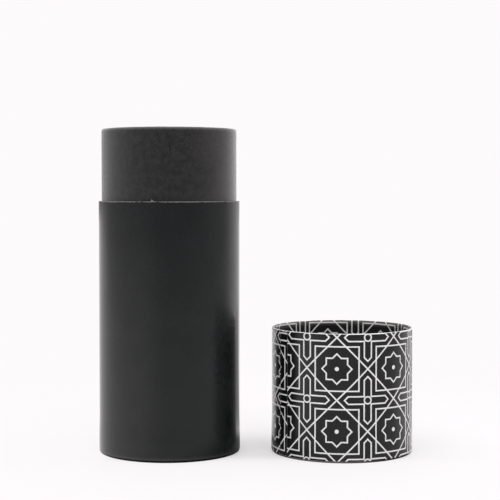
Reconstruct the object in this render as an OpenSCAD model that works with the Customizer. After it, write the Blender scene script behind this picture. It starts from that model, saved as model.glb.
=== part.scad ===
// Paper tube box in two parts: a wrapped board base with a neck standing out of it,
// and a push-on lid that stands beside the base with its open end up.
// The origin is the middle of the base's foot, +Z is up and the front faces -Y.

/* [Tube] */
// Outside diameter of the base and the lid, over the printed wrap
tube_d = 70; // [45:1:120]
// Height of the base, from the floor up to the shoulder
base_h = 124.8; // [80:0.1:240]
// Height of the neck above the shoulder
neck_show = 35.5; // [15:0.5:40]
// Height of the lid
lid_h = 62; // [48:0.5:100]

/* [Board] */
// Wall of the lid's board tube
lid_board_t = 1; // [0.8:0.05:2]
// Wall of the inner board tube that makes the neck
neck_board_t = 1.2; // [0.8:0.05:2.5]
// Thickness of the board discs in the closed ends
end_board_t = 2; // [1:0.1:4]

/* [Paper] */
// Thickness of the printed wrap on the base and the lid
wrap_t = 0.15; // [0.1:0.01:0.3]
// Thickness of the uncoated paper on the neck
neck_paper_t = 0.15; // [0.1:0.01:0.3]
// Thickness of the lining papers and the floor papers
lining_t = 0.15; // [0.1:0.01:0.3]
// Thickness of the paper caps over the closed ends
end_paper_t = 0.2; // [0.1:0.01:0.35]

/* [Folds and edges] */
// Depth to which the lid's wrap is turned in over its rim
lid_turn_in = 14; // [6:0.5:30]
// Depth to which the neck's paper is turned in over its rim
neck_turn_in = 10; // [5:0.5:30]
// Height of the end cap's skirt, which goes up the side under the wrap
skirt_h = 9; // [5:0.5:20]
// Height in which the wrap comes back in to the tube above that skirt
skirt_ramp = 8; // [1:0.5:14]
// Height of the wrap's lower edge above the closed end
wrap_back = 0.8; // [0.3:0.05:2]
// Width in which the wrap's ends lie over each other
seam_w = 9; // [4:0.5:16]
// Rounding of the edge of the board disc in each closed end
foot_round = 0.6; // [0.2:0.05:0.8]
// Rounding of the board tubes' folded rims
rim_round = 0.4; // [0.2:0.05:1]

/* [Lid] */
// Gap between the neck and the inside of the lid, on the radius
slip_gap = 0.2; // [0.1:0.05:0.5]
// Put the lid on the neck, as when the tube is closed
lid_on = false; // [false, true]
// Gap between the base and the lid standing beside it
lid_gap = 16.2; // [4:0.1:80]
// Distance that the lid standing beside the base is set forward
lid_forward = 2; // [0:0.1:40]

/* [Seams] */
// Direction of the base's wrap seam, counted round from +X
base_seam_turn = 118; // [0:1:359]
// Direction of the lid's wrap seam, counted round from +X
lid_seam_turn = 213; // [0:1:359]

/* [Hidden] */
$fn = 180;

// Most of a wall that the rounding of its rim may take on each side
rim_share = 0.45;
// Extra length that takes a cut past the surface it opens
overrun = 1;

tube_r = tube_d / 2;

// Radii of the lid's wall, from the outside in; the base's board has the same outside
board_r = tube_r - wrap_t;
lid_board_bore_r = board_r - lid_board_t;
lid_mouth_r = lid_board_bore_r - max(wrap_t, lining_t);

// Radii of the neck's wall; the base's board fills what is left outside it
neck_r = lid_mouth_r - slip_gap;
neck_board_r = neck_r - neck_paper_t;
neck_bore_r = neck_board_r - neck_board_t;

// Heights, from the floor up
end_board_z = end_paper_t;
floor_paper_z = end_board_z + end_board_t;
floor_z = floor_paper_z + lining_t;
neck_top = base_h + neck_show;

// Rounding of each folded rim, on the board that the paper goes over
lid_rim_round = min(rim_round, lid_board_t * rim_share);
neck_rim_round = min(rim_round, neck_board_t * rim_share);

lid_x = tube_d + lid_gap;

black_print = [0.11, 0.11, 0.12];
lid_print = [0.17, 0.17, 0.18];
charcoal_paper = [0.20, 0.20, 0.21];
lining_black = [0.09, 0.09, 0.10];
grey_board = [0.42, 0.41, 0.39];

// Stands the lid beside the base with its open end up, or seats it on the neck
module place_lid() {
    if (lid_on)
        translate([0, 0, base_h + lid_h]) rotate([180, 0, 0]) children();
    else
        translate([lid_x, -lid_forward, 0]) children();
}

// Half section of a plain wall or, from the axis out, of a disc
module plain_section(r_in, r_out, z_low, z_high) {
    translate([r_in, z_low]) square([r_out - r_in, z_high - z_low]);
}

// The same with its lower outer corner rounded
module foot_section(r_in, r_out, z_low, z_high, round) {
    plain_section(r_in, r_out, z_low + round, z_high);
    plain_section(r_in, r_out - round, z_low, z_high);
    translate([r_out - round, z_low + round]) circle(round);
}

// The same with both upper corners rounded, as paper leaves them when it is folded over
module rim_section(r_in, r_out, z_low, z_high, round) {
    plain_section(r_in, r_out, z_low, z_high - round);
    plain_section(r_in + round, r_out - round, z_low, z_high);
    translate([r_in + round, z_high - round]) circle(round);
    translate([r_out - round, z_high - round]) circle(round);
}

// Half section of a wrap that goes up the outside, out over the skirt of the end cap.
// lift is how far the layer lies off the board.
module wrap_section(lift, z_high) {
    low_r = board_r + end_paper_t + lift;
    high_r = board_r + lift;
    polygon([
        [low_r, wrap_back],
        [low_r + wrap_t, wrap_back],
        [low_r + wrap_t, skirt_h],
        [high_r + wrap_t, skirt_h + skirt_ramp],
        [high_r + wrap_t, z_high],
        [high_r, z_high],
        [high_r, skirt_h + skirt_ramp],
        [low_r, skirt_h]
    ]);
}

// The end of a wrap that lies over its beginning
module wrap_overlap(turn, z_high) {
    seam_angle = seam_w / tube_r * 180 / PI;
    rotate([0, 0, turn - seam_angle / 2])
        rotate_extrude(angle = seam_angle)
            wrap_section(wrap_t, z_high);
}

// A cap of paper over a closed end, with a skirt up the side of the board
module end_paper() {
    rotate_extrude()
        difference() {
            foot_section(0, board_r + end_paper_t, 0, skirt_h, foot_round + end_paper_t);
            foot_section(0, board_r, end_paper_t, skirt_h + overrun, foot_round);
        }
}

// The board disc of a closed end, as wide as the tube that stands on it
module end_board() {
    rotate_extrude()
        foot_section(0, board_r, end_board_z, floor_paper_z, foot_round);
}

// The paper on the inner side of that disc
module floor_paper() {
    translate([0, 0, floor_paper_z]) cylinder(r = board_r, h = lining_t);
}

// Outer board tube of the base; the neck is glued into it
module base_tube() {
    color(grey_board)
        rotate_extrude()
            plain_section(neck_r, board_r, floor_z, base_h);
}

// Printed wrap of the base, cut off level with the shoulder
module base_wrap() {
    color(black_print) {
        rotate_extrude() wrap_section(0, base_h);
        wrap_overlap(base_seam_turn, base_h);
    }
}

// Board disc that closes the base
module base_end_board() {
    color(grey_board) end_board();
}

// Paper cap over the foot of the base
module base_end_paper() {
    color(black_print) end_paper();
}

// Paper on the inner side of the base's board disc; both board tubes stand on it
module base_floor_paper() {
    color(lining_black) floor_paper();
}

// Inner board tube, the full height of the base and the neck
module neck_tube() {
    color(grey_board)
        rotate_extrude()
            rim_section(neck_bore_r, neck_board_r, floor_z, neck_top - neck_paper_t,
                neck_rim_round);
}

// Uncoated paper on the inner tube, folded over its rim and turned in
module neck_paper() {
    color(charcoal_paper)
        rotate_extrude()
            difference() {
                union() {
                    plain_section(neck_board_r, neck_r, floor_z, neck_top - neck_turn_in);
                    rim_section(neck_bore_r - neck_paper_t, neck_r, neck_top - neck_turn_in,
                        neck_top, neck_rim_round + neck_paper_t);
                }
                rim_section(neck_bore_r, neck_board_r, 0, neck_top - neck_paper_t,
                    neck_rim_round);
            }
}

// Lining of the well, from its floor up to the turned-in paper
module neck_lining() {
    color(lining_black)
        rotate_extrude()
            plain_section(neck_bore_r - lining_t, neck_bore_r, floor_z,
                neck_top - neck_turn_in);
}

// Board tube of the lid
module lid_tube() {
    color(grey_board)
        place_lid()
            rotate_extrude()
                rim_section(lid_board_bore_r, board_r, floor_z, lid_h - wrap_t, lid_rim_round);
}

// Printed wrap of the lid, folded over its rim and turned in
module lid_wrap() {
    color(lid_print)
        place_lid() {
            rotate_extrude()
                difference() {
                    union() {
                        wrap_section(0, lid_h - lid_turn_in);
                        rim_section(lid_board_bore_r - wrap_t, tube_r, lid_h - lid_turn_in,
                            lid_h, lid_rim_round + wrap_t);
                    }
                    rim_section(lid_board_bore_r, board_r, 0, lid_h - wrap_t, lid_rim_round);
                }
            wrap_overlap(lid_seam_turn, lid_h - lid_rim_round - wrap_t);
        }
}

// Board disc that closes the lid
module lid_end_board() {
    color(grey_board) place_lid() end_board();
}

// Paper cap over the closed end of the lid
module lid_end_paper() {
    color(lid_print) place_lid() end_paper();
}

// Paper on the inner side of the lid's board disc; the lid's board tube stands on it
module lid_floor_paper() {
    color(lining_black) place_lid() floor_paper();
}

// Lining of the lid, from its floor paper up to the turned-in wrap
module lid_lining() {
    color(lining_black)
        place_lid()
            rotate_extrude()
                plain_section(lid_board_bore_r - lining_t, lid_board_bore_r, floor_z,
                    lid_h - lid_turn_in);
}

base_tube();
base_wrap();
base_end_board();
base_end_paper();
base_floor_paper();
neck_tube();
neck_paper();
neck_lining();
lid_tube();
lid_wrap();
lid_end_board();
lid_end_paper();
lid_floor_paper();
lid_lining();
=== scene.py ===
"""Looks of a paper tube box in two parts: a wrapped base with its neck, and the lid standing beside it.

Sizes in the classes are in millimetres and meshes are in metres. The row frame is the CAD's: the origin
is the middle of the base's foot, +Z is up and the front faces -Y. Turns are counted round from +X.
"""

import logging
import math
from collections.abc import Callable, Iterator
from contextlib import contextmanager
from dataclasses import dataclass
from enum import Enum
from functools import reduce

import bpy
import numpy as np
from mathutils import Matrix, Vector


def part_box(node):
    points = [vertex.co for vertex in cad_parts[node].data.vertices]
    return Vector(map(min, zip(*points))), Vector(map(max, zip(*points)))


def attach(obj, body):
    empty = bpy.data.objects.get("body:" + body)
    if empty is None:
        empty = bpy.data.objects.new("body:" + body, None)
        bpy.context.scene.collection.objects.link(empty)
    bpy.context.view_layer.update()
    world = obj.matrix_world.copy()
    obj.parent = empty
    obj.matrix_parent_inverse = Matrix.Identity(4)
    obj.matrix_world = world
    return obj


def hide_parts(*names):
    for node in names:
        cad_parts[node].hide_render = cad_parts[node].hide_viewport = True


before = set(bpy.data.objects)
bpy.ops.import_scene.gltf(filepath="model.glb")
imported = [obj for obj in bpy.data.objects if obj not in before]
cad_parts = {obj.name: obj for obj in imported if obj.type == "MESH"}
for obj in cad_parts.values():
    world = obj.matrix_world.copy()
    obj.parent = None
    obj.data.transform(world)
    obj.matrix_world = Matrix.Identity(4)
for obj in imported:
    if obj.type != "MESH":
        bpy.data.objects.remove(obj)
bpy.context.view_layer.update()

LOG = logging.getLogger("paper_tube")
MM = 0.001
INF = math.inf
FULL_TURN = 360.0
COLUMNS = 512
COLUMN = FULL_TURN / COLUMNS
TINY = 1e-9
# How near to a face or an end a vertex is to count as on it
SKIN = 0.02
# Value that a noise wanders about
MIDDLE = 0.5
SMOOTH_BELOW = math.radians(32.0)
SHEET_MAP = "sheet"

Socket = bpy.types.NodeSocket
Node = bpy.types.Node
Piece = bpy.types.Object
Material = bpy.types.Material
Colour = tuple[float, float, float]
Point = tuple[float, float, float]
Span = tuple[float, float]
Ramp = tuple[float, ...]


class Shut(Enum):
    """How the two ends of a turned half section are closed."""

    RING = "the last ring is bridged to the first, as in a tube's wall"
    POLES = "both ends run in to the axis, as in a disc or a cap"


class Side(Enum):
    """Which face of a wall is worked on."""

    OUTER = 1.0
    INNER = -1.0


# Modelling


@dataclass(frozen=True)
class Corner:
    """A corner of a half section.

    Args:
        r: Distance from the axis.
        z: Height.
        round: Radius of the fillet on this corner.
        step: Longest stretch between two rings on the run that leads to this corner, 0 for one stretch.
    """

    r: float
    z: float
    round: float = 0.0
    step: float = 0.0


@dataclass(frozen=True)
class Spot:
    """A ring of a turned piece: its distance from the axis and its height."""

    r: float
    z: float


@dataclass
class Section:
    """The half section of a turned piece, from its corners to the rings that make it.

    Args:
        corners: The corners in order, each run leading from one to the next.
        shut: How the ends are closed.
    """

    corners: list[Corner]
    shut: Shut = Shut.RING

    ARC_STEPS = 6
    SUPPORT = 0.3

    def __post_init__(self) -> None:
        """Works out every ring in order."""
        self.rings: list[Spot] = []
        for index, corner in enumerate(self.corners):
            arc = self._fillet(index)
            if self.rings:
                self.rings += self._run(self.rings[-1], arc[0], corner.step)
            self.rings += arc

    def _fillet(self, index: int) -> list[Spot]:
        """Gives the spots that take the place of one corner.

        Args:
            index: The corner's place in the list.

        Returns:
            One spot for a plain corner, or an arc of them for a rounded one.
        """
        here = self.corners[index]
        if not here.round:
            return [Spot(here.r, here.z)]
        around = (self.corners[index - 1], here, self.corners[(index + 1) % len(self.corners)])
        before, middle, after = (Vector((corner.r, corner.z)) for corner in around)
        back = (before - middle).normalized()
        on = (after - middle).normalized()
        half = math.acos(max(-1.0, min(1.0, back.dot(on)))) / 2
        centre = middle + (back + on).normalized() * here.round / math.sin(half)
        start = middle + back * here.round / math.tan(half) - centre
        end = middle + on * here.round / math.tan(half) - centre
        turn = math.atan2(start.x * end.y - start.y * end.x, start.dot(end))
        spots = []
        for step in range(self.ARC_STEPS + 1):
            angle = turn * step / self.ARC_STEPS
            x = start.x * math.cos(angle) - start.y * math.sin(angle)
            y = start.x * math.sin(angle) + start.y * math.cos(angle)
            spots.append(Spot(centre.x + x, centre.y + y))
        return spots

    def _run(self, start: Spot, end: Spot, step: float) -> list[Spot]:
        """Gives the rings between two spots, close to each end and evenly in between.

        Args:
            start: Where the run begins.
            end: Where it ends.
            step: Longest stretch between two rings, 0 for none in between.

        Returns:
            The rings without the two spots themselves.
        """
        length = math.hypot(end.r - start.r, end.z - start.z)
        if not step or length < 3 * self.SUPPORT:
            return []
        inside = length - 2 * self.SUPPORT
        count = max(1, math.ceil(inside / step))
        shares = [(self.SUPPORT + inside * k / count) / length for k in range(count + 1)]
        return [Spot(start.r + (end.r - start.r) * s, start.z + (end.z - start.z) * s) for s in shares]

    def path(self) -> np.ndarray:
        """Gives rows of r, z and the length along the section, for each ring.

        Returns:
            An array of three columns.
        """
        points = np.array([(spot.r, spot.z) for spot in self.rings])
        steps = np.hypot(*np.diff(points, axis=0).T)
        return np.column_stack([points, np.concatenate([[0.0], np.cumsum(steps)])])

    def along(self, r: np.ndarray, z: np.ndarray) -> np.ndarray:
        """Gives how far along the section each point lies.

        Args:
            r: Distances from the axis.
            z: Heights.

        Returns:
            The length along the section at the nearest spot of it.
        """
        path = self.path()
        best = np.full(len(r), np.inf)
        found = np.zeros(len(r))
        for (r0, z0, s0), (r1, z1, s1) in zip(path[:-1], path[1:]):
            if s1 - s0 < TINY:
                continue
            share = ((r - r0) * (r1 - r0) + (z - z0) * (z1 - z0)) / (s1 - s0) ** 2
            share = np.clip(share, 0.0, 1.0)
            gap = np.hypot(r - r0 - (r1 - r0) * share, z - z0 - (z1 - z0) * share)
            nearer = gap < best
            best[nearer] = gap[nearer]
            found[nearer] = (s0 + (s1 - s0) * share)[nearer]
        return found


def clear_selection() -> None:
    """Leaves edit mode and deselects every object."""
    if bpy.context.mode != "OBJECT":
        bpy.ops.object.mode_set(mode="OBJECT")
    bpy.ops.object.select_all(action="DESELECT")


def take(piece: Piece) -> None:
    """Makes the piece the only selected object and the active one.

    Args:
        piece: The piece.
    """
    clear_selection()
    piece.select_set(True)
    bpy.context.view_layer.objects.active = piece


@contextmanager
def editing(piece: Piece, chosen: np.ndarray, faces: bool = False) -> Iterator[None]:
    """Holds a piece in edit mode with only some of its vertices or faces selected.

    Args:
        piece: The piece to work on.
        chosen: A yes or no for each vertex or face.
        faces: Whether it tells of faces.

    Yields:
        Nothing. The piece goes back to object mode afterwards.
    """
    take(piece)
    mesh = piece.data
    for items in (mesh.vertices, mesh.edges, mesh.polygons):
        items.foreach_set("select", np.zeros(len(items), dtype=bool))
    (mesh.polygons if faces else mesh.vertices).foreach_set("select", chosen)
    bpy.context.tool_settings.mesh_select_mode = (not faces, False, faces)
    bpy.ops.object.mode_set(mode="EDIT")
    yield
    bpy.ops.object.mode_set(mode="OBJECT")


def extrude(rise: float = 0.0) -> None:
    """Extrudes what is selected and lifts it, in metres."""
    bpy.ops.mesh.extrude_region_move(TRANSFORM_OT_translate={"value": (0.0, 0.0, rise)})


def rows_of(items: bpy.types.bpy_prop_collection, name: str) -> np.ndarray:
    """Gives a property of mesh elements, such as their place, as rows of x, y and z.

    Args:
        items: Vertices or faces.
        name: The property.

    Returns:
        The rows.
    """
    rows = np.zeros(len(items) * 3)
    items.foreach_get(name, rows)
    return rows.reshape(-1, 3)


def within(values: np.ndarray, span: Span) -> np.ndarray:
    """Tells which values lie inside a span."""
    return (values > span[0]) & (values < span[1])


def paint(piece: Piece, material: Material) -> None:
    """Gives a piece one material and no other."""
    piece.data.materials.clear()
    piece.data.materials.append(material)


@dataclass(frozen=True)
class Unevenness:
    """Slight unevenness of paper and board, worked into a mesh by a Displace modifier.

    Args:
        size: Size of its swells.
        depth: Its full depth.
        along: The modifier's direction, NORMAL or Z.
    """

    size: float
    depth: float
    along: str = "NORMAL"

    def work_into(self, piece: Piece, chosen: np.ndarray) -> None:
        """Displaces some of a piece's vertices.

        Args:
            piece: The piece to work on.
            chosen: A yes or no for each vertex.
        """
        take(piece)
        texture = bpy.data.textures.new(f"{piece.name}_swells", "CLOUDS")
        texture.noise_scale = self.size * MM
        texture.noise_depth = 1
        group = piece.vertex_groups.new(name="swells")
        group.add(np.flatnonzero(chosen).tolist(), 1.0, "REPLACE")
        modifier = piece.modifiers.new("Swells", "DISPLACE")
        modifier.texture = texture
        modifier.texture_coords = "LOCAL"
        modifier.direction = self.along
        modifier.strength = self.depth * MM
        modifier.mid_level = 0.5
        modifier.vertex_group = group.name
        bpy.ops.object.modifier_apply(modifier=modifier.name)
        piece.vertex_groups.clear()


@dataclass(frozen=True)
class Axis:
    """An upright axis that pieces are turned about, by its place on the floor."""

    x: float
    y: float

    FACING = 0.3

    def centre(self, z: float = 0.0) -> Point:
        """Gives the point of the axis at height z, in metres."""
        return (self.x * MM, self.y * MM, z * MM)

    def polar(self, points: np.ndarray) -> tuple[np.ndarray, np.ndarray, np.ndarray]:
        """Gives distance from the axis, turn in degrees and height of points.

        Args:
            points: Rows of x, y and z in metres.

        Returns:
            Distances and heights in millimetres, with turns from 0 to 360 between them.
        """
        x = points[:, 0] / MM - self.x
        y = points[:, 1] / MM - self.y
        return np.hypot(x, y), np.degrees(np.arctan2(y, x)) % FULL_TURN, points[:, 2] / MM

    def corners_of(self, piece: Piece) -> tuple[np.ndarray, np.ndarray, np.ndarray]:
        """Gives the polar places of a piece's vertices."""
        return self.polar(rows_of(piece.data.vertices, "co"))

    def turned(self, name: str, section: Section) -> Piece:
        """Makes a wall of revolution by hand: a ring of edges is extruded, lifted and scaled.

        Args:
            name: The piece's name.
            section: The half section to follow.

        Returns:
            The piece, its place in its mesh.
        """
        clear_selection()
        rings = section.rings
        bpy.ops.mesh.primitive_circle_add(
            vertices=COLUMNS, radius=rings[0].r * MM, fill_type="NOTHING", location=self.centre(rings[0].z)
        )
        piece = bpy.context.active_object
        piece.name = name
        bpy.ops.object.transform_apply(location=True, rotation=False, scale=False)
        with editing(piece, np.ones(COLUMNS, dtype=bool)):
            for here, there in zip(rings, rings[1:]):
                extrude((there.z - here.z) * MM)
                self.scale(there.r / here.r)
            if section.shut is Shut.POLES:
                self._close_at_axis()
        index = np.arange(len(piece.data.vertices))
        ends = index < COLUMNS
        if section.shut is Shut.RING:
            ends |= index >= COLUMNS * (len(rings) - 1)
        with editing(piece, ends):
            if section.shut is Shut.RING:
                bpy.ops.mesh.bridge_edge_loops()
            else:
                self._close_at_axis()
            bpy.ops.mesh.select_all(action="SELECT")
            bpy.ops.mesh.normals_make_consistent(inside=False)
        return piece

    def scale(self, share: float) -> None:
        """Scales what is selected away from the axis."""
        if abs(share - 1.0) > TINY:
            bpy.ops.transform.resize(value=(share, share, 1.0), center_override=self.centre())

    def _close_at_axis(self) -> None:
        """Runs the selected ring in to a point on the axis."""
        extrude()
        bpy.ops.mesh.merge(type="CENTER")

    def step_strip(
        self, piece: Piece, side: Side, turns: Span, top: float, wall_r: float, lift: float,
        climbs: bool = False,
    ) -> None:
        """Raises or sinks an upright strip of a wall, as paper does where it overlaps or leaves a joint.

        Args:
            piece: The piece to work on.
            side: Which face of the wall.
            turns: Turns that bound the strip, in degrees.
            top: Height that it ends at.
            wall_r: Distance of the wall from the axis.
            lift: How far the strip moves away from the axis, negative towards it.
            climbs: Whether the strip's first column slopes up to it, instead of standing in a step.
        """
        mesh = piece.data
        middles = rows_of(mesh.polygons, "center")
        outward = middles - np.array(self.centre())
        outward[:, 2] = 0.0
        outward /= np.maximum(np.linalg.norm(outward, axis=1, keepdims=True), TINY)
        facing = (outward * rows_of(mesh.polygons, "normal")).sum(1) * side.value
        _, turn, z = self.polar(middles)
        inside = (turn - turns[0]) % FULL_TURN < (turns[1] - turns[0])
        with editing(piece, (facing > self.FACING) & inside & (z < top), faces=True):
            extrude()
            self.scale((wall_r + lift) / wall_r)
        if climbs:
            moved = np.zeros(len(mesh.vertices), dtype=bool)
            mesh.vertices.foreach_get("select", moved)
            gap = (self.corners_of(piece)[1] - turns[0] + FULL_TURN / 2) % FULL_TURN - FULL_TURN / 2
            with editing(piece, moved & (np.abs(gap) < COLUMN / 2)):
                self.scale(wall_r / (wall_r + lift))
                bpy.ops.mesh.select_all(action="SELECT")
                bpy.ops.mesh.remove_doubles(threshold=lift * MM / 10)

    def swell(self, piece: Piece, swells: Unevenness, r: Span = (0.0, INF), z: Span = (-INF, INF)) -> None:
        """Works unevenness into the vertices within a span of distances and one of heights."""
        distance, _, height = self.corners_of(piece)
        swells.work_into(piece, within(distance, r) & within(height, z))


# Shader wiring


def reckoner(operation: str, swapped: bool = False) -> Callable[["Value", "Term"], "Value"]:
    """Makes the method by which a Value takes part in one kind of sum.

    Args:
        operation: The Math node's operation.
        swapped: Whether the other term stands first.

    Returns:
        The method.
    """

    def reckon(self: "Value", other: "Term") -> "Value":
        """Adds the Math node."""
        return self.wiring.math(operation, *((other, self) if swapped else (self, other)))

    return reckon


@dataclass(frozen=True)
class Value:
    """What a node puts out. A sum with a number or another value adds a Math node."""

    wiring: "Wiring"
    socket: Socket

    __add__ = reckoner("ADD")
    __sub__ = reckoner("SUBTRACT")
    __rsub__ = reckoner("SUBTRACT", swapped=True)
    __mul__ = reckoner("MULTIPLY")
    __truediv__ = reckoner("DIVIDE")

    def __abs__(self) -> "Value":
        """Gives the value without its sign."""
        return self.wiring.math("ABSOLUTE", self)


Term = Value | float | tuple[float, ...]
Outs = dict[str, Value]
Look = tuple[Value, Value, Value]


class Wiring:
    """Adds nodes to one node tree and links them."""

    MIX_A, MIX_B, MIX_OUT = 6, 7, 2

    def __init__(self, tree: bpy.types.NodeTree) -> None:
        """Works in the given tree."""
        self.tree = tree

    def feed(self, socket: Socket, value: Term | Node) -> None:
        """Links a socket to a value or to a node's first output, or sets what it holds.

        Args:
            socket: The socket.
            value: What it is fed; a colour has no alpha.
        """
        if isinstance(value, (Value, Node)):
            self.tree.links.new(value.outputs[0] if isinstance(value, Node) else value.socket, socket)
        else:
            socket.default_value = (*value, 1.0) if socket.type == "RGBA" else value

    def add(self, kind: str, *values: Term | Node, **settings: object) -> Node:
        """Adds a node.

        Args:
            kind: Its Blender type.
            values: What its first inputs are fed, in order.
            settings: Its properties.

        Returns:
            The node.
        """
        node = self.tree.nodes.new(kind)
        for name, value in settings.items():
            setattr(node, name, value)
        for socket, value in zip(node.inputs, values):
            self.feed(socket, value)
        return node

    def plug(self, node: Node, **values: Term | Node) -> Node:
        """Feeds a node's inputs by name, with _ for a space, and gives the node back.

        Args:
            node: The node.
            values: What its inputs are fed.

        Returns:
            The node.
        """
        for name, value in values.items():
            self.feed(node.inputs[name.replace("_", " ")], value)
        return node

    def outs(self, node: Node) -> Outs:
        """Gives a node's outputs by name."""
        return {socket.name: Value(self, socket) for socket in node.outputs}

    def math(self, operation: str, *values: Term) -> Value:
        """Adds a Math node."""
        return Value(self, self.add("ShaderNodeMath", *values, operation=operation).outputs[0])

    def vector(self, operation: str, *values: Term, out: str = "Vector") -> Value:
        """Adds a Vector Math node and gives its output Vector or Value."""
        return self.outs(self.add("ShaderNodeVectorMath", *values, operation=operation))[out]

    def most(self, *values: Term) -> Value:
        """Gives the largest of several values."""
        return reduce(lambda first, second: self.math("MAXIMUM", first, second), values)

    def step(self, value: Term, low: Term, high: Term, start: Term = 0.0, end: Term = 1.0) -> Value:
        """Turns a value into a smooth step.

        Args:
            value: The value.
            low: Where the step begins.
            high: Where it ends.
            start: What it gives at low.
            end: What it gives at high.

        Returns:
            The stepped value.
        """
        ends = (value, low, high, start, end)
        return Value(self, self.add("ShaderNodeMapRange", *ends, interpolation_type="SMOOTHSTEP").outputs[0])

    def noise(self, place: Term, size: float, detail: float, rough: float = 0.5) -> Value:
        """Adds a noise texture.

        Args:
            place: Coordinates in millimetres.
            size: Size of its features in millimetres.
            detail: How many finer layers it has.
            rough: How strong these are.

        Returns:
            A value about 0.5.
        """
        node = self.add("ShaderNodeTexNoise")
        self.plug(node, Vector=place, Scale=1.0 / size, Detail=detail, Roughness=rough)
        return Value(self, node.outputs[0])

    def layers(self, ground: Term, *coats: tuple[Term, Term]) -> Value:
        """Lays colours over each other.

        Args:
            ground: The lowest colour.
            coats: The share and the colour of each coat over it.

        Returns:
            The colour that shows.
        """
        for share, coat in coats:
            node = self.add("ShaderNodeMix", share, data_type="RGBA")
            self.feed(node.inputs[self.MIX_A], ground)
            self.feed(node.inputs[self.MIX_B], coat)
            ground = Value(self, node.outputs[self.MIX_OUT])
        return ground

    def in_mm(self, place: Value) -> Value:
        """Turns coordinates in metres into millimetres."""
        return self.vector("MULTIPLY", place, (1.0 / MM,) * 3)

    def place(self) -> Value:
        """Gives Object coordinates in millimetres."""
        return self.in_mm(self.outs(self.add("ShaderNodeTexCoord"))["Object"])

    def parts(self, vector: Value) -> list[Value]:
        """Splits a vector into x, y and z."""
        return [Value(self, socket) for socket in self.add("ShaderNodeSeparateXYZ", vector).outputs]

    def join(self, x: Term, y: Term) -> Value:
        """Makes a level vector of x and y."""
        return Value(self, self.add("ShaderNodeCombineXYZ", x, y).outputs[0])


def begin_material(name: str) -> tuple[Material, Wiring]:
    """Begins a material and gives it with its wiring.

    Args:
        name: The material's name.

    Returns:
        The material and its wiring.
    """
    material = bpy.data.materials.new(name)
    material.use_nodes = True
    return material, Wiring(material.node_tree)


class Effect:
    """An effect that more than one material uses, kept as one shader node group.

    Its inputs are Place, a vector in millimetres, and the numbers named in takes with what they hold
    when nothing is fed to them.
    """

    title = ""
    takes: dict[str, float] = {}

    def wire(self, wiring: Wiring, given: Outs) -> Outs:
        """Works out the group's outputs.

        Args:
            wiring: The group's wiring.
            given: Its inputs by name.

        Returns:
            Its outputs by name.
        """
        raise NotImplementedError

    def tree(self) -> bpy.types.NodeTree:
        """Gives the group, built the first time that it is asked for.

        Returns:
            The group's node tree.
        """
        found = bpy.data.node_groups.get(self.title)
        if found is not None:
            return found
        tree = bpy.data.node_groups.new(self.title, "ShaderNodeTree")
        tree.interface.new_socket("Place", in_out="INPUT", socket_type="NodeSocketVector")
        for name, value in self.takes.items():
            socket = tree.interface.new_socket(name, in_out="INPUT", socket_type="NodeSocketFloat")
            socket.default_value = value
        wiring = Wiring(tree)
        put = self.wire(wiring, wiring.outs(wiring.add("NodeGroupInput")))
        for name in put:
            tree.interface.new_socket(name, in_out="OUTPUT", socket_type="NodeSocketFloat")
        wiring.add("NodeGroupOutput", *put.values())
        return tree

    def put_in(self, wiring: Wiring, **values: Term) -> Outs:
        """Places the group in a material, fed by name, and gives its outputs by name."""
        return wiring.outs(wiring.plug(wiring.add("ShaderNodeGroup", node_tree=self.tree()), **values))


class PaperGrain(Effect):
    """The felted fibres of paper and board: a tone that wanders about 0.5, and a height."""

    title = "Paper grain"
    takes = {"Fibre": 0.5, "Cloud": 9.0}

    # Size, detail and roughness of each noise
    FELT = (1.0, 3.0, 0.6)
    CURL = (4.0, 2.0)
    CLOUDS = (1.0, 3.0, 0.55)
    THREAD = 0.035
    FIBRE_TONE = 0.12
    FIBRE_HEIGHT = 0.25

    def wire(self, wiring: Wiring, given: Outs) -> Outs:
        """Makes fine felt, single fibres and the wider clouds of the sheet.

        Args:
            wiring: The group's wiring.
            given: Its inputs by name.

        Returns:
            Its outputs by name.
        """
        small = wiring.vector("DIVIDE", given["Place"], given["Fibre"])
        wide = wiring.vector("DIVIDE", given["Place"], given["Cloud"])
        felt = wiring.noise(small, *self.FELT)
        fibre = wiring.step(abs(wiring.noise(small, *self.CURL) - MIDDLE), self.THREAD, 0.0)
        return {
            "Tone": fibre * self.FIBRE_TONE + felt,
            "Cloudiness": wiring.noise(wide, *self.CLOUDS),
            "Height": fibre * self.FIBRE_HEIGHT + felt,
        }


class EdgeBand(Effect):
    """A broken-up band along an edge, strongest on the edge: worn colour at most edges, a painted highlight
    above the base's foot.
    """

    title = "Edge band"
    takes = {"Distance": 0.0, "Reach": 0.3, "Chips": 0.8}

    CHIP = (0.9, 3.0, 0.65)
    CHIP_SHARE = 2.6
    SWELL = (6.0, 1.0)
    LEAST = 0.001
    BORDER: Ramp = (1.15, 0.75)

    def wire(self, wiring: Wiring, given: Outs) -> Outs:
        """Compares the distance from the edge with a reach that wanders along it.

        Args:
            wiring: The group's wiring.
            given: Its inputs by name.

        Returns:
            Its outputs by name.
        """
        chips = wiring.noise(given["Place"], *self.CHIP) - MIDDLE
        mixed = chips * self.CHIP_SHARE + wiring.noise(given["Place"], *self.SWELL)
        wander = (mixed - MIDDLE) * given["Chips"] + MIDDLE
        share = given["Distance"] / wiring.most(wander * given["Reach"] * 2.0, self.LEAST)
        return {"Worn": wiring.step(share, *self.BORDER)}

    def near(self, wiring: Wiring, place: Value, distance: Value, reach: float, chips: float) -> Value:
        """Gives how strongly a place lies in the band at a distance from the edge."""
        return self.put_in(wiring, Place=place, Distance=distance, Reach=reach, Chips=chips)["Worn"]


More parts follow.
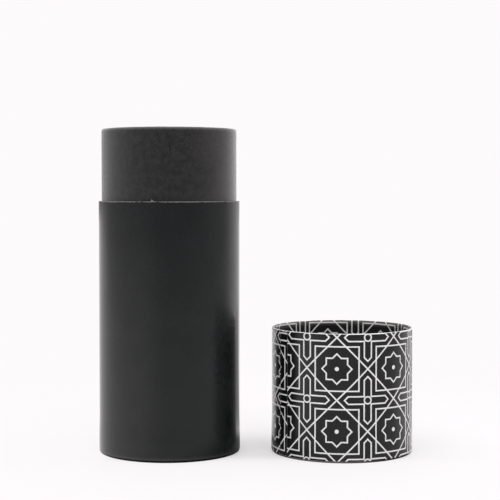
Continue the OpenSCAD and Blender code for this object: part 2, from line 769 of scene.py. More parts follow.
class Scuffs(Effect):
    """Faint handling marks of a matt film: a value that changes its gloss, and dust specks."""

    title = "Scuffs"

    SMUDGE = (14.0, 2.0, 0.5)
    RUB = (1.2, 2.0, 0.6)
    RUB_SHAPE = (1.0, 1.0, 0.12)
    RUB_SHARE = 0.35
    SPECK_GAP = 5.5
    KEPT: Ramp = (0.86, 0.9)
    SPECK: Ramp = (0.03, 0.015)

    def wire(self, wiring: Wiring, given: Outs) -> Outs:
        """Makes smudges, long thin rubs and single dust specks.

        Args:
            wiring: The group's wiring.
            given: Its inputs by name.

        Returns:
            Its outputs by name.
        """
        place = given["Place"]
        thin = wiring.noise(wiring.vector("MULTIPLY", place, self.RUB_SHAPE), *self.RUB)
        cells = wiring.plug(wiring.add("ShaderNodeTexVoronoi"), Vector=place, Scale=1.0 / self.SPECK_GAP)
        dots = wiring.outs(cells)
        kept = wiring.step(wiring.parts(dots["Color"])[0], *self.KEPT)
        return {
            "Rub": (thin - MIDDLE) * self.RUB_SHARE + wiring.noise(place, *self.SMUDGE),
            "Specks": kept * wiring.step(dots["Distance"], *self.SPECK),
        }


class StarLattice(Effect):
    """A traditional lattice of eight-point stars and crosses, drawn in thin lines."""

    title = "Star lattice"
    takes = {"Pitch": 30.0, "Line": 0.7}

    STAR_SHARE = 0.35355
    SMALL_STAR_SHARE = 0.17
    INSET = 2.6
    RING_R = 1.7
    DOT_R = 1.0
    SOFT = 0.07

    def wire(self, wiring: Wiring, given: Outs) -> Outs:
        """Measures how far a point is from each outline and inks what is near.

        Args:
            wiring: The group's wiring.
            given: Its inputs by name.

        Returns:
            Its outputs by name.
        """
        pitch = given["Pitch"]
        half = pitch * 0.5
        least = pitch * -0.5
        x, y = (abs(wiring.math("WRAP", part, half, least)) for part in wiring.parts(given["Place"])[:2])
        square = wiring.most(x, y)
        diamond = (x + y) * math.sqrt(0.5)
        star = wiring.math("MINIMUM", square, diamond)
        big = pitch * self.STAR_SHARE
        corner = wiring.vector("LENGTH", wiring.join(half - x, half - y), out="Value")
        outlines = (
            square - big,
            diamond - big,
            star - big - self.INSET,
            star - pitch * self.SMALL_STAR_SHARE,
            corner - self.RING_R,
        )
        reach = given["Line"] * 0.5
        drawn = [wiring.step(abs(outline), reach + self.SOFT, reach - self.SOFT) for outline in outlines]
        middle = wiring.vector("LENGTH", wiring.join(x, y), out="Value")
        dot = wiring.step(middle, self.DOT_R + self.SOFT, self.DOT_R - self.SOFT)
        return {"Ink": wiring.most(dot, *drawn)}


GRAIN = PaperGrain()
EDGE_BAND = EdgeBand()
SCUFFS = Scuffs()
LATTICE = StarLattice()
BASE = Axis(0.0, 0.0)
LID = Axis(86.2, -2.0)


# Finishes


@dataclass(frozen=True)
class Finish:
    """Plain black paper, as in the linings, and what all finishes share: one Principled shader.

    Args:
        name: The material's name.
        dark: Its colour where it is darkest.
        light: Its colour where it is lightest.
        tones: How much the fibres and the clouds change its tone, which lies about 0.5.
        ramp: The tones at which it is darkest and lightest.
        fibre: Size of its fibres.
        cloud: Size of its clouds.
        depth: Depth of its relief.
        rough: Its least roughness and how much the grain or the rubs add.
        specular: The shader's specular level.
        sheen: The shader's sheen weight.
        sheen_rough: The shader's sheen roughness.
    """

    name: str = "black_lining"
    dark: Colour = (0.0130, 0.0130, 0.0138)
    light: Colour = (0.0270, 0.0268, 0.0272)
    tones: Span = (1.0, 1.0)
    ramp: Ramp = (0.2, 0.8)
    fibre: float = 0.5
    cloud: float = 7.0
    depth: float = 0.03
    rough: Span = (0.6, 0.2)
    specular: float = 0.35
    sheen: float = 0.0
    sheen_rough: float = 0.5

    GRAZING: Ramp = (0.4, 0.8, 1.0, 0.48)
    CUT_FACE: Ramp = (0.6, 0.9)

    def material(self) -> Material:
        """Builds the material.

        Returns:
            The finished material.
        """
        material, wiring = begin_material(self.name)
        place = wiring.place()
        grain = GRAIN.put_in(wiring, Place=place, Fibre=self.fibre, Cloud=self.cloud)
        fibres = (grain["Tone"] - MIDDLE) * self.tones[0]
        tone = fibres + (grain["Cloudiness"] - MIDDLE) * self.tones[1] + MIDDLE
        ground = wiring.layers(self.dark, (wiring.step(tone, *self.ramp), self.light))
        colour, rough, height = self.wire(wiring, place, grain, ground)
        bump = wiring.add("ShaderNodeBump")
        wiring.plug(
            wiring.tree.nodes["Principled BSDF"],
            Base_Color=colour,
            Roughness=rough,
            Normal=wiring.plug(bump, Strength=1.0, Distance=self.depth * MM, Height=height),
            Specular_IOR_Level=self.specular,
            Sheen_Weight=self.sheen,
            Sheen_Roughness=self.sheen_rough,
        )
        return material

    def wire(self, wiring: Wiring, place: Value, grain: Outs, ground: Value) -> Look:
        """Works out what the shader is fed.

        Args:
            wiring: The material's wiring.
            place: The place on the piece, in millimetres.
            grain: The outputs of the paper's grain.
            ground: The paper's own colour.

        Returns:
            The colour, the roughness and the height from 0 to 1.
        """
        return ground, self.roughness(grain["Tone"]), grain["Height"]

    def roughness(self, change: Value) -> Value:
        """Gives the roughness for a grain or rub from 0 to 1."""
        return change * self.rough[1] + self.rough[0]

    def grazing(self, wiring: Wiring, rough: Value) -> Value:
        """Takes roughness away at low angles, as smooth paper and film do."""
        facing = wiring.outs(wiring.add("ShaderNodeLayerWeight"))["Facing"]
        return rough * wiring.step(facing, *self.GRAZING)

    def cut_edge(self, wiring: Wiring, middle: Axis) -> Value:
        """Finds the upright cut edge of a seam, which faces round the tube.

        Args:
            wiring: The material's wiring.
            middle: The axis that the paper is wound round.

        Returns:
            1 on the cut edge and 0 elsewhere.
        """
        spoke = wiring.vector("SUBTRACT", wiring.place(), (middle.x, middle.y, 0.0))
        along = wiring.vector("NORMALIZE", wiring.vector("CROSS_PRODUCT", (0.0, 0.0, 1.0), spoke))
        normal = wiring.outs(wiring.add("ShaderNodeNewGeometry"))["True Normal"]
        return wiring.step(abs(wiring.vector("DOT_PRODUCT", along, normal, out="Value")), *self.CUT_FACE)


@dataclass(frozen=True)
class MattBlackWrap(Finish):
    """Black paper under a matt film, with the pale core of the paper showing on its cut edge."""

    name: str = "matt_black_wrap"
    dark: Colour = (0.0043, 0.0060, 0.0062)
    light: Colour = (0.0063, 0.0080, 0.0084)
    tones: Span = (0.0, 1.0)
    ramp: Ramp = (0.35, 0.75)
    fibre: float = 0.28
    cloud: float = 16.0
    depth: float = 0.006
    rough: Span = (0.22, 0.12)
    specular: float = 0.53
    # Pale paper core on cut and worn edges; also the colour of the painted highlight above the foot
    core: Colour = (0.165, 0.157, 0.147)
    dust: Colour = (0.20, 0.20, 0.20)
    dust_share: float = 0.5
    top: float = 124.8
    foot: float = 1.0
    worn: Span = (0.34, 0.7)
    worn_rough: float = 0.35
    # Painted highlight: a paler band just above the foot, its reach and break-up, and its share of the core
    # colour
    foot_highlight: Span = (1.3, 0.3)
    foot_highlight_share: float = 0.12

    def wire(self, wiring: Wiring, place: Value, grain: Outs, ground: Value) -> Look:
        """Adds scuffs and dust, wear at the shoulder, and a painted highlight: a paler band just above the
        foot.

        Args:
            wiring: The material's wiring.
            place: The place on the piece, in millimetres.
            grain: The outputs of the paper's grain.
            ground: The paper's own colour.

        Returns:
            The colour, the roughness and the height from 0 to 1.
        """
        scuffs = SCUFFS.put_in(wiring, Place=place)
        z = wiring.parts(place)[2]
        worn = EDGE_BAND.near(wiring, place, self.top - z, *self.worn)
        # Painted highlight: a paler band just above the foot, where the film's edge catches the light
        foot_highlight = EDGE_BAND.near(wiring, place, z - self.foot, *self.foot_highlight)
        colour = wiring.layers(
            ground,
            (scuffs["Specks"] * self.dust_share, self.dust),
            (worn, self.core),
            (foot_highlight * self.foot_highlight_share, self.core),
            (self.cut_edge(wiring, BASE), self.core),
        )
        rough = self.roughness(scuffs["Rub"]) + worn * self.worn_rough
        return colour, self.grazing(wiring, rough), grain["Height"]


@dataclass(frozen=True)
class CharcoalPaper(Finish):
    """Uncoated charcoal paper with felted fibres, cloudy in tone, a little warm in places and with a painted
    warm reflection towards +X.
    """

    name: str = "charcoal_paper"
    dark: Colour = (0.0035, 0.0035, 0.0038)
    light: Colour = (0.0155, 0.0154, 0.0157)
    tones: Span = (1.3, 1.8)
    ramp: Ramp = (0.18, 0.98)
    fibre: float = 0.7
    cloud: float = 2.6
    rough: Span = (0.33, 0.2)
    specular: float = 0.5
    sheen: float = 0.37
    sheen_rough: float = 0.46
    # Warm colour of random patches and of the painted warm reflection towards +X
    warm: Colour = (0.0210, 0.0165, 0.0185)
    warm_noise: Ramp = (22.0, 1.0)
    reflection_lean: float = 0.022
    warm_ramp: Ramp = (0.7, 1.25, 0.0, 0.8)
    rubbed: Colour = (0.13, 0.129, 0.129)
    top: float = 160.3
    worn: Span = (0.6, 0.7)
    worn_share: float = 0.6
    handled: Ramp = (1.9, 0.3, 0.0, 0.5)

    def wire(self, wiring: Wiring, place: Value, grain: Outs, ground: Value) -> Look:
        """Adds warm places and a painted warm reflection towards +X, and wear and handling at the rim.

        Args:
            wiring: The material's wiring.
            place: The place on the piece, in millimetres.
            grain: The outputs of the paper's grain.
            ground: The paper's own colour.

        Returns:
            The colour, the roughness and the height from 0 to 1.
        """
        x, _, z = wiring.parts(place)
        # Random warm patches plus a painted warm reflection that grows towards +X
        tint_and_reflection = x * self.reflection_lean + wiring.noise(place, *self.warm_noise)
        below = self.top - z
        worn = EDGE_BAND.near(wiring, place, below, *self.worn)
        colour = wiring.layers(
            ground,
            (wiring.step(tint_and_reflection, *self.warm_ramp), self.warm),
            (wiring.most(worn * self.worn_share, wiring.step(below, *self.handled)), self.rubbed),
        )
        return colour, self.grazing(wiring, self.roughness(grain["Tone"])), grain["Height"]


@dataclass(frozen=True)
class LinePrintWrap(Finish):
    """Black paper printed with a white line lattice, with a broken pale line along the fold."""

    name: str = "line_print_wrap"
    dark: Colour = (0.0050, 0.0052, 0.0058)
    light: Colour = (0.0095, 0.0096, 0.0102)
    tones: Span = (0.0, 1.0)
    ramp: Ramp = (0.35, 0.75)
    fibre: float = 0.32
    cloud: float = 10.0
    depth: float = 0.008
    rough: Span = (0.19, 0.12)
    specular: float = 0.5
    ink: Colour = (0.86, 0.86, 0.855)
    ink_cover: Span = (0.82, 0.3)
    ink_rough: float = 0.1
    ink_height: float = 0.4
    # Pale paper core on the cut edge; also the colour of the painted highlight inside the rim
    core: Colour = (0.20, 0.19, 0.178)
    pitch: float = 30.0
    line: float = 0.68
    line_spread: float = 0.18
    shift: Span = (3.7, 14.5)
    skew: float = 0.0068
    fold: float = 61.0
    fold_width: float = 1.0
    # Pale line along the fold: its reach and break-up, and its share of the ink colour
    fold_line: Span = (0.2, 1.0)
    fold_line_share: float = 0.55
    # Painted highlight: a pale band on the turned-in inside below the fold, its depth and share
    inner_highlight_depth: float = 3.2
    inner_highlight_share: float = 0.55
    inside_rough: float = 0.45

    def wire(self, wiring: Wiring, place: Value, grain: Outs, ground: Value) -> Look:
        """Adds the print, a broken line of ink colour along the fold, and a painted highlight: a pale band
        on the turned-in inside below the fold.

        Args:
            wiring: The material's wiring.
            place: The place on the piece, in millimetres.
            grain: The outputs of the paper's grain.
            ground: The paper's own colour.

        Returns:
            The colour, the roughness and the height from 0 to 1.
        """
        sheet = wiring.outs(wiring.add("ShaderNodeUVMap", uv_map=SHEET_MAP))["UV"]
        u, v, _ = wiring.parts(wiring.in_mm(sheet))
        at = wiring.join(u - self.shift[0], u * self.skew + v - self.shift[1])
        line = (grain["Tone"] - MIDDLE) * self.line_spread + self.line
        drawn = LATTICE.put_in(wiring, Place=at, Pitch=self.pitch, Line=line)["Ink"]
        body = grain["Tone"] * self.ink_cover[1] + self.ink_cover[0]
        cover = drawn * wiring.math("MINIMUM", body, 1.0)
        over = self.fold + self.fold_width
        past = wiring.step(v, self.fold, over)
        # Painted highlight: a pale band on the inside just below the fold, fading away from it
        rubbed = wiring.step(v, over + self.inner_highlight_depth, over, 0.0, self.inner_highlight_share)
        # Ink colour laid along the fold, broken up
        fold_line = EDGE_BAND.near(wiring, place, abs(v - self.fold), *self.fold_line)
        colour = wiring.layers(
            ground,
            (past * rubbed, self.core),
            (cover, self.ink),
            (fold_line * self.fold_line_share, self.ink),
            (self.cut_edge(wiring, LID), self.core),
        )
        rough = self.roughness(SCUFFS.put_in(wiring, Place=place)["Rub"]) + cover * self.ink_rough
        rough = wiring.most(self.grazing(wiring, rough), past * self.inside_rough)
        return colour, rough, cover * self.ink_height + grain["Height"]


@dataclass(frozen=True)
class GreyBoard(Finish):
    """Grey board wound from several plies, which show as rings on a cut end."""

    name: str = "grey_board"
    dark: Colour = (0.17, 0.16, 0.145)
    light: Colour = (0.36, 0.345, 0.32)
    ramp: Ramp = (0.15, 0.85)
    fibre: float = 0.3
    cloud: float = 3.0
    depth: float = 0.05
    rough: Span = (0.75, 0.15)
    specular: float = 0.3
    axis: Axis = BASE
    glue: Colour = (0.09, 0.082, 0.07)
    glue_ramp: Ramp = (0.035, 0.012, 0.0, 0.6)
    glue_height: float = -0.8
    ply: float = 0.34
    wander: float = 0.12

    def wire(self, wiring: Wiring, place: Value, grain: Outs, ground: Value) -> Look:
        """Adds the lines of glue between the plies.

        Args:
            wiring: The material's wiring.
            place: The place on the piece, in millimetres.
            grain: The outputs of the paper's grain.
            ground: The paper's own colour.

        Returns:
            The colour, the roughness and the height from 0 to 1.
        """
        flat = wiring.vector("MULTIPLY", place, (1.0, 1.0, 0.0))
        spoke = wiring.vector("DISTANCE", flat, (self.axis.x, self.axis.y, 0.0), out="Value")
        ring = wiring.math("PINGPONG", grain["Cloudiness"] * self.wander + spoke, self.ply / 2)
        seam = wiring.step(ring, *self.glue_ramp)
        colour = wiring.layers(ground, (seam, self.glue))
        return colour, self.roughness(grain["Tone"]), seam * self.glue_height + grain["Height"]


# Sub-assemblies


@dataclass(frozen=True)
class Stock:
    """Sizes that the base, the neck and the lid share."""

    tube_r: float = 35.0
    board_r: float = 34.85
    wrap_t: float = 0.15
    cap_t: float = 0.2
    skirt_top: float = 9.0
    flare_top: float = 17.0
    wrap_foot: float = 1.0
    board_foot: float = 2.2
    floor_z: float = 2.35
    pole_r: float = 3.0
    cut: float = 0.05
    flare_round: float = 80.0
    foot_round: float = 0.6
    rim_round: float = 0.55
    board_round: float = 0.4
    crest_round: float = 0.3
    bend_round: float = 1.5
    roll_round: float = 4.0
    edge_round: float = 0.04
    roll_h: float = 1.6
    roll_in: float = 0.06
    bend_h: float = 0.6
    bend_in: float = 0.36
    rim_depth: float = 0.3
    even_foot: float = 2.0
    flare_step: float = 4.0
    cap_step: float = 3.0
    floor_step: float = 2.5
    rim_step: float = 0.2
    turn_in_step: float = 2.0

    @property
    def foot_r(self) -> float:
        """Outer radius of the wrap over the cap's skirt."""
        return self.board_r + self.cap_t + self.wrap_t

    def wrap_outside(self) -> list[Corner]:
        """Gives the corners of a wrap's outside from its lower edge to the top of the flare.

        Returns:
            The corners.
        """
        return [
            Corner(self.foot_r, self.wrap_foot, self.cut),
            Corner(self.foot_r, self.skirt_top, self.flare_round, self.flare_step),
            Corner(self.tube_r, self.flare_top, self.flare_round),
        ]

    def wrap_back(self) -> list[Corner]:
        """Gives the corners of a wrap's glued side from the top of the flare down.

        Returns:
            The corners.
        """
        return [
            Corner(self.board_r, self.flare_top),
            Corner(self.foot_r - self.wrap_t, self.skirt_top),
            Corner(self.foot_r - self.wrap_t, self.wrap_foot),
        ]

    def cap(self) -> Section:
        """Gives the section of the paper cap over a closed end.

        Returns:
            The section, run in to the axis.
        """
        outside = self.board_r + self.cap_t
        corners = [
            Corner(self.pole_r, 0.0),
            Corner(outside, 0.0, self.foot_round + self.cap_t, self.cap_step),
            Corner(outside, self.skirt_top),
            Corner(self.board_r, self.skirt_top),
            Corner(self.board_r, self.cap_t, self.foot_round),
            Corner(self.pole_r, self.cap_t),
        ]
        return Section(corners, Shut.POLES)

    def floor(self) -> Section:
        """Gives the section of the paper on the inner side of a closed end.

        Returns:
            The section, run in to the axis.
        """
        corners = [
            Corner(self.pole_r, self.board_foot),
            Corner(self.board_r, self.board_foot),
            Corner(self.board_r, self.floor_z),
            Corner(self.pole_r, self.floor_z, step=self.floor_step),
        ]
        return Section(corners, Shut.POLES)


STOCK = Stock()


@dataclass
class Shell:
    """What the base, the neck and the lid share: papers turned about one axis, riding on one body.

    Args:
        axis: The axis that they are turned about.
        body: The CAD body that they ride on.
    """

    axis: Axis
    body: str

    PLEATS = 64
    PLEAT_SHARE = 0.3
    PLEAT_DEPTH = 0.05
    PLEAT_TOP = 0.75
    PLEAT_START_R = 33.2
    CORNER_TOP = 0.8
    CORNER_R = 34.95
    GROOVE = 0.05
    JOINT_WIDTH = COLUMN * 1.01
    EDGE_WAVE = Unevenness(9.0, 0.7, "Z")
    EDGE_DEPTH = 0.1
    LINING_SWELLS = Unevenness(14.0, 0.08)
    LINING_STEP = 6.0
    LINING_SKIN = 0.08
    LINING_EDGE = 0.5
    FLOOR_SWELLS = Unevenness(13.0, 0.14)
    FLOOR_EDGE = 1.0
    FLOOR_SKIN = 0.05

    def dress(self, piece: Piece, slot: str, material: Material, node: str) -> None:
        """Shades a piece, gives it its material and sets it on the body in place of a CAD node.

        Args:
            piece: The finished mesh.
            slot: The record's material slot; not used.
            material: Its finish.
            node: The CAD node that it replaces.
        """
        take(piece)
        bpy.ops.object.shade_smooth_by_angle(angle=SMOOTH_BELOW)
        paint(piece, material)
        clear_selection()
        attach(piece, self.body)
        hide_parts(node)
        ends = np.array([piece.bound_box[0], piece.bound_box[6]])
        off = np.abs(ends - np.array([tuple(end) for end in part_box(node)])).max() / MM
        faces = len(piece.data.polygons)
        LOG.info("%s stands for %s: %d faces, ends within %.2f mm", piece.name, node, faces, off)

    def keep(self, material: Material, *nodes: str) -> None:
        """Gives boards that the papers cover their material and leaves them as the CAD made them.

        Args:
            material: Their finish.
            nodes: The boards' CAD nodes.
        """
        for node in nodes:
            paint(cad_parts[node], material)
            LOG.info("%s keeps its CAD mesh", node)

    def overlap(self, piece: Piece, turns: Span, top: float) -> None:
        """Lays the end of a wrap over its beginning."""
        self.axis.step_strip(piece, Side.OUTER, turns, top, STOCK.tube_r, STOCK.wrap_t, climbs=True)

    def joint(self, piece: Piece, side: Side, turn: float, top: float, wall_r: float) -> None:
        """Sinks the fine groove of a butt joint into a wall."""
        turns = (turn, turn + self.JOINT_WIDTH)
        self.axis.step_strip(piece, side, turns, top, wall_r, -side.value * self.GROOVE)

    def wave_edge(self, piece: Piece, height: float, bore_r: float) -> None:
        """Gives a paper's edge inside a bore the slight wave of a hand-cut sheet."""
        edge = (height - self.EDGE_DEPTH, height + self.EDGE_DEPTH)
        self.axis.swell(piece, self.EDGE_WAVE, r=(0.0, bore_r + SKIN), z=edge)

    def end_cap(self, name: str) -> Piece:
        """Models the paper cap over a closed end, its corner gathered into small pleats.

        Args:
            name: The piece's name.

        Returns:
            The piece.
        """
        piece = self.axis.turned(name, STOCK.cap())
        r, turn, z = self.axis.corners_of(piece)
        in_pleat = (turn * self.PLEATS / FULL_TURN) % 1.0 < self.PLEAT_SHARE
        beyond = r + (self.CORNER_TOP - z) > self.CORNER_R
        corner = (z < self.PLEAT_TOP) & (r > self.PLEAT_START_R) & beyond
        with editing(piece, in_pleat & corner):
            self.axis.scale((STOCK.board_r - self.PLEAT_DEPTH) / STOCK.board_r)
        return piece

    def lining(self, name: str, bore_r: float, top: float, seam_turn: float) -> Piece:
        """Models a paper lining with its butt joint, up to the turned-in paper.

        Args:
            name: The piece's name.
            bore_r: Radius of the board it lies on.
            top: Height of its upper edge.
            seam_turn: Turn of its joint.

        Returns:
            The piece.
        """
        face_r = bore_r - STOCK.wrap_t
        corners = [
            Corner(face_r, STOCK.floor_z),
            Corner(face_r, top, step=self.LINING_STEP),
            Corner(bore_r, top),
            Corner(bore_r, STOCK.floor_z),
        ]
        piece = self.axis.turned(name, Section(corners))
        self.joint(piece, Side.INNER, seam_turn, top, face_r)
        even = (STOCK.floor_z + self.LINING_EDGE, top - self.LINING_EDGE)
        self.axis.swell(piece, self.LINING_SWELLS, r=(0.0, bore_r - self.LINING_SKIN), z=even)
        self.wave_edge(piece, top, bore_r)
        return piece

    def floor(self, name: str, bore_r: float) -> Piece:
        """Models the paper on a closed end's inner side, a little uneven from its glue.

        Args:
            name: The piece's name.
            bore_r: Radius within which it shows.

        Returns:
            The piece.
        """
        piece = self.axis.turned(name, STOCK.floor())
        above = (STOCK.floor_z - self.FLOOR_SKIN, INF)
        self.axis.swell(piece, self.FLOOR_SWELLS, r=(0.0, bore_r - self.FLOOR_EDGE), z=above)
        return piece


@dataclass
class BaseShell(Shell):
    """The base up to its shoulder: the wrap, the board edge inside it and the cap under the foot."""

    axis: Axis = BASE
    body: str = "base"
    height: float = 124.8
    neck_r: float = 33.5
    seam_turns: Span = (111.0, 125.2)
    wall_step: float = 5.0
    edge_round: float = 0.07
    edge_depth: float = 0.2
    board_step: float = 30.0
    board_rounds: Span = (0.05, 0.08)
    shoulder_step: float = 0.3
    even_top: float = 0.5
    wall_swells: Unevenness = Unevenness(26.0, 0.06)
    edge_swells: Unevenness = Unevenness(1.6, 0.16, "Z")
    board_swells: Unevenness = Unevenness(1.2, 0.1, "Z")
    burr_turn: float = 259.0
    burr_height: float = 1.15
    burr_steps: tuple[Span, ...] = ((1.0, 0.15), (0.55, 0.3), (0.25, 0.55))

    def wrap(self) -> Piece:
        """Models the wrap with its overlap, its flare over the skirt and its cut upper edge.

        Returns:
            The wrap.
        """
        corners = [
            *STOCK.wrap_outside(),
            Corner(STOCK.tube_r, self.height, self.edge_round, self.wall_step),
            Corner(STOCK.board_r, self.height),
            *STOCK.wrap_back(),
        ]
        piece = self.axis.turned("base_wrap_sheet", Section(corners))
        self.overlap(piece, self.seam_turns, self.height)
        self.axis.swell(piece, self.edge_swells, z=(self.height - self.edge_depth, INF))
        self._raise_burr(piece)
        even = (STOCK.even_foot, self.height - self.even_top)
        self.axis.swell(piece, self.wall_swells, r=(STOCK.tube_r - SKIN, INF), z=even)
        return piece

    def _raise_burr(self, piece: Piece) -> None:
        """Pulls up the one torn bit of paper that stands on the cut edge.

        Args:
            piece: The wrap.
        """
        for half_width, share in self.burr_steps:
            _, turn, z = self.axis.corners_of(piece)
            close = np.abs(turn - self.burr_turn) < math.degrees(half_width / STOCK.tube_r)
            with editing(piece, close & (z > self.height - self.edge_depth)):
                bpy.ops.transform.translate(value=(0.0, 0.0, self.burr_height * share * MM))

    def board_edge(self) -> Piece:
        """Models the outer board tube, whose cut end is the shoulder.

        Returns:
            The board tube.
        """
        corners = [
            Corner(STOCK.board_r, STOCK.floor_z),
            Corner(STOCK.board_r, self.height, self.board_rounds[0], self.board_step),
            Corner(self.neck_r, self.height, self.board_rounds[1], self.shoulder_step),
            Corner(self.neck_r, STOCK.floor_z),
        ]
        piece = self.axis.turned("base_tube_board", Section(corners))
        self.axis.swell(piece, self.board_swells, z=(self.height - SKIN, INF))
        return piece

    def build(self, wrap: Material, board: Material, cap: Material) -> None:
        """Builds and dresses the shell.

        Args:
            wrap: The wrap's finish.
            board: The boards' finish.
            cap: The cap's finish.
        """
        self.dress(self.wrap(), "matt_black_wrap", wrap, "base_wrap")
        self.dress(self.board_edge(), "grey_board", board, "base_tube")
        self.dress(self.end_cap("base_foot_cap"), "matt_black_wrap", cap, "base_end_paper")
        self.keep(board, "base_end_board")


@dataclass
class Neck(Shell):
    """The inner tube's paper, which shows as the neck, and the lining and floor of the well."""

    axis: Axis = BASE
    body: str = "base"
    top: float = 160.3
    outer_r: float = 33.5
    bore_r: float = 32.15
    paper_t: float = 0.15
    turn_in: float = 10.0
    shoulder: float = 124.8
    hidden: float = 2.0
    wall_step: float = 3.0
    seam_turn: float = 97.0
    seam_end: float = 0.5
    lining_seam_turn: float = 117.0
    even: Span = (0.3, 0.8)
    wall_swells: Unevenness = Unevenness(11.0, 0.08)
    rim_swells: Unevenness = Unevenness(5.0, 0.12, "Z")

    def paper(self) -> Piece:
        """Models the paper over the inner tube, folded over the rim and turned in.

        Returns:
            The paper.
        """
        board_r = self.outer_r - self.paper_t
        inner_r = self.bore_r - self.paper_t
        edge = self.top - self.turn_in
        corners = [
            Corner(self.outer_r, STOCK.floor_z),
            Corner(self.outer_r, self.shoulder - self.hidden),
            Corner(self.outer_r, self.top - STOCK.roll_h, STOCK.roll_round, self.wall_step),
            Corner(self.outer_r - STOCK.roll_in, self.top - STOCK.bend_h, STOCK.bend_round),
            Corner(self.outer_r - STOCK.bend_in, self.top, STOCK.crest_round),
            Corner(inner_r, self.top, STOCK.rim_round, STOCK.rim_step),
            Corner(inner_r, edge, STOCK.edge_round, STOCK.turn_in_step),
            Corner(self.bore_r, edge),
            Corner(self.bore_r, self.top - self.paper_t, STOCK.board_round),
            Corner(board_r, self.top - self.paper_t, STOCK.board_round),
            Corner(board_r, STOCK.floor_z),
        ]
        piece = self.axis.turned("neck_paper_sheet", Section(corners))
        self.joint(piece, Side.OUTER, self.seam_turn, self.top - self.seam_end, self.outer_r)
        even = (self.shoulder + self.even[0], self.top - self.even[1])
        self.axis.swell(piece, self.wall_swells, r=(self.outer_r - SKIN, INF), z=even)
        self.axis.swell(piece, self.rim_swells, z=(self.top - STOCK.rim_depth, INF))
        self.wave_edge(piece, edge, self.bore_r)
        return piece

    def build(self, paper: Material, lining: Material, board: Material) -> None:
        """Builds and dresses the neck and the well.

        Args:
            paper: The neck paper's finish.
            lining: The lining's finish.
            board: The board's finish.
        """
        self.dress(self.paper(), "charcoal_paper", paper, "neck_paper")
        edge = self.top - self.turn_in
        tube = self.lining("neck_lining_sheet", self.bore_r, edge, self.lining_seam_turn)
        self.dress(tube, "black_lining", lining, "neck_lining")
        self.dress(self.floor("base_floor_sheet", self.bore_r), "black_lining", lining, "base_floor_paper")
        self.keep(board, "neck_tube")


@dataclass
class LidShell(Shell):
    """The lid, standing with its open end up: wrap, cap, lining and floor."""

    axis: Axis = LID
    body: str = "lid"
    height: float = 62.0
    board_bore_r: float = 33.85
    turn_in: float = 14.0
    wall_step: float = 4.0
    seam_turns: Span = (206.6, 216.6)
    lining_seam_turn: float = 60.0
    even_top: float = 1.0
    wall_swells: Unevenness = Unevenness(24.0, 0.06)
    rim_swells: Unevenness = Unevenness(3.5, 0.16, "Z")

    def section(self) -> Section:
        """Gives the wrap's section, from its lower edge up the outside, over the rim and back.

        Returns:
            The section.
        """
        inner_r = self.board_bore_r - STOCK.wrap_t
        edge = self.height - self.turn_in
        corners = [
            *STOCK.wrap_outside(),
            Corner(STOCK.tube_r, self.height, STOCK.rim_round, self.wall_step),
            Corner(inner_r + STOCK.bend_in, self.height, STOCK.crest_round, STOCK.rim_step),
            Corner(inner_r + STOCK.roll_in, self.height - STOCK.bend_h, STOCK.bend_round),
            Corner(inner_r, self.height - STOCK.roll_h, STOCK.roll_round),
            Corner(inner_r, edge, STOCK.edge_round, STOCK.turn_in_step),
            Corner(self.board_bore_r, edge),
            Corner(self.board_bore_r, self.height - STOCK.wrap_t, STOCK.board_round),
            Corner(STOCK.board_r, self.height - STOCK.wrap_t, STOCK.board_round),
            *STOCK.wrap_back(),
        ]
        return Section(corners)

    def wrap(self) -> Piece:
        """Models the printed wrap with its overlap and its folded rim, and lays its sheet map.

        Returns:
            The wrap.
        """
        section = self.section()
        piece = self.axis.turned("lid_wrap_sheet", section)
        self.overlap(piece, self.seam_turns, self.height - STOCK.rim_round)
        self.lay_map(piece, section)
        even = (STOCK.even_foot, self.height - self.even_top)
        self.axis.swell(piece, self.wall_swells, r=(STOCK.tube_r - SKIN, INF), z=even)
        self.axis.swell(piece, self.rim_swells, z=(self.height - STOCK.rim_depth, INF))
        self.wave_edge(piece, self.height - self.turn_in, self.board_bore_r)
        return piece

    def lay_map(self, piece: Piece, section: Section) -> None:
        """Writes where each corner of the mesh lies on the flat sheet before it was wound.

        Args:
            piece: The wrap.
            section: The section it was turned from.
        """
        mesh = piece.data
        r, turn, z = self.axis.corners_of(piece)
        v = section.along(r, z)
        path = section.path()
        wall = np.interp(v, path[:, 2], path[:, 0])
        raised = (v < self.height) & (r - wall > STOCK.wrap_t / 2)
        start = self.seam_turns[0] - COLUMN / 2
        strip = self.seam_turns[1] - self.seam_turns[0] + COLUMN
        centre = self.axis.centre()
        flat = np.zeros((len(mesh.loops), 2))
        for face in mesh.polygons:
            corners = list(face.vertices)
            middle = math.degrees(math.atan2(face.center.y - centre[1], face.center.x - centre[0]))
            middle = (middle - start) % FULL_TURN
            lap = FULL_TURN if middle < strip and raised[corners].any() else 0.0
            away = (turn[corners] - start - middle + FULL_TURN / 2) % FULL_TURN - FULL_TURN / 2
            flat[list(face.loop_indices), 0] = np.radians(middle + away + lap) * STOCK.tube_r
            flat[list(face.loop_indices), 1] = v[corners]
        layer = mesh.uv_layers.new(name=SHEET_MAP)
        layer.uv.foreach_set("vector", (flat * MM).astype(np.float32).ravel())

    def build(self, wrap: Material, cap: Material, lining: Material, board: Material) -> None:
        """Builds and dresses the lid.

        Args:
            wrap: The wrap's finish.
            cap: The cap's finish.
            lining: The lining's finish.
            board: The boards' finish.
        """
        self.dress(self.wrap(), "line_print_wrap", wrap, "lid_wrap")
        self.dress(self.end_cap("lid_end_cap"), "line_print_wrap", cap, "lid_end_paper")
        edge = self.height - self.turn_in
        tube = self.lining("lid_lining_sheet", self.board_bore_r, edge, self.lining_seam_turn)
        self.dress(tube, "black_lining", lining, "lid_lining")
        floor = self.floor("lid_floor_sheet", self.board_bore_r)
        self.dress(floor, "black_lining", lining, "lid_floor_paper")
        self.keep(board, "lid_end_board", "lid_tube")


# Studio


